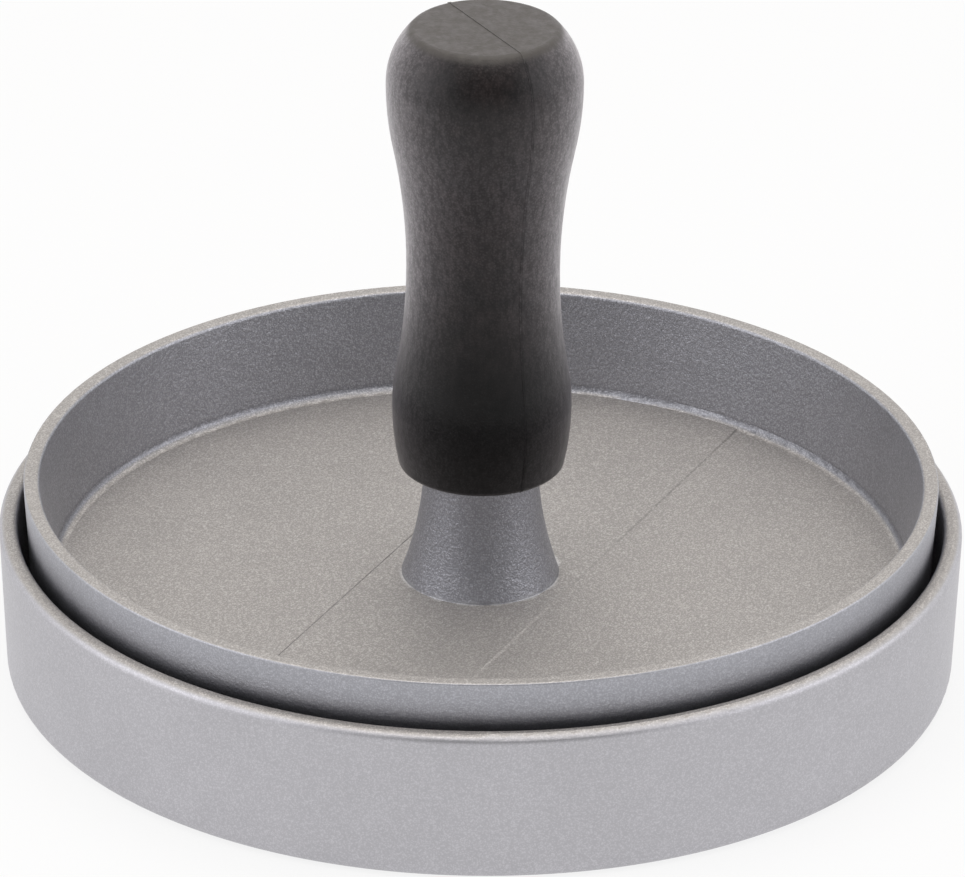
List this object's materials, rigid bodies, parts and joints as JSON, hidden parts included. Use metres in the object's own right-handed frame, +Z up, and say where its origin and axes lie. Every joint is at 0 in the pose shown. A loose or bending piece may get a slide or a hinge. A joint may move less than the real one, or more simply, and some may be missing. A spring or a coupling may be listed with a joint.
{
  "type": "burger press",
  "caption": "Hand press for burger patties: a shallow cast dish and a pan-shaped press plate that drops into it, with an upright handle on a flared boss.",
  "frame": {"origin": "centre of the mould dish's underside, on the surface that it stands on", "axes": "+Z up along the press's axis through the handle; +X to the right and +Y away in the picture's view"},
  "size_m": [0.1298, 0.1298, 0.0929],
  "materials": {
    "cast_metal_dish": "cast, with a fine metallic coat, satin",
    "cast_metal_plate": "cast, with a fine metallic coat, satin",
    "black_plastic": "moulded, satin",
    "brass": "machined",
    "screw_steel": "bright, passivated",
    "washer_steel": "bright, passivated",
    "spring_steel": "dull, passivated",
    "gasket_rubber": "moulded, dull"
  },
  "bodies": {
    "mould": {"mould_dish": "cast_metal_dish"},
    "lifter": {"handle_gasket": "gasket_rubber"},
    "plunger": {"press_plate": "cast_metal_plate", "handle": "black_plastic", "handle_insert": "brass", "handle_screw": "screw_steel", "flat_washer": "washer_steel", "spring_washer": "spring_steel"}
  },
  "joints": [
    {"name": "plunger_lift", "type": "slide", "parent": "mould", "child": "lifter", "axis": [0, 0, 1], "range_m": [0, 0.06]},
    {"name": "plunger_turn", "type": "hinge", "parent": "lifter", "child": "plunger", "pos_m": [0, 0, 0.0289], "axis": [0, 0, 1], "continuous": true}
  ]
}
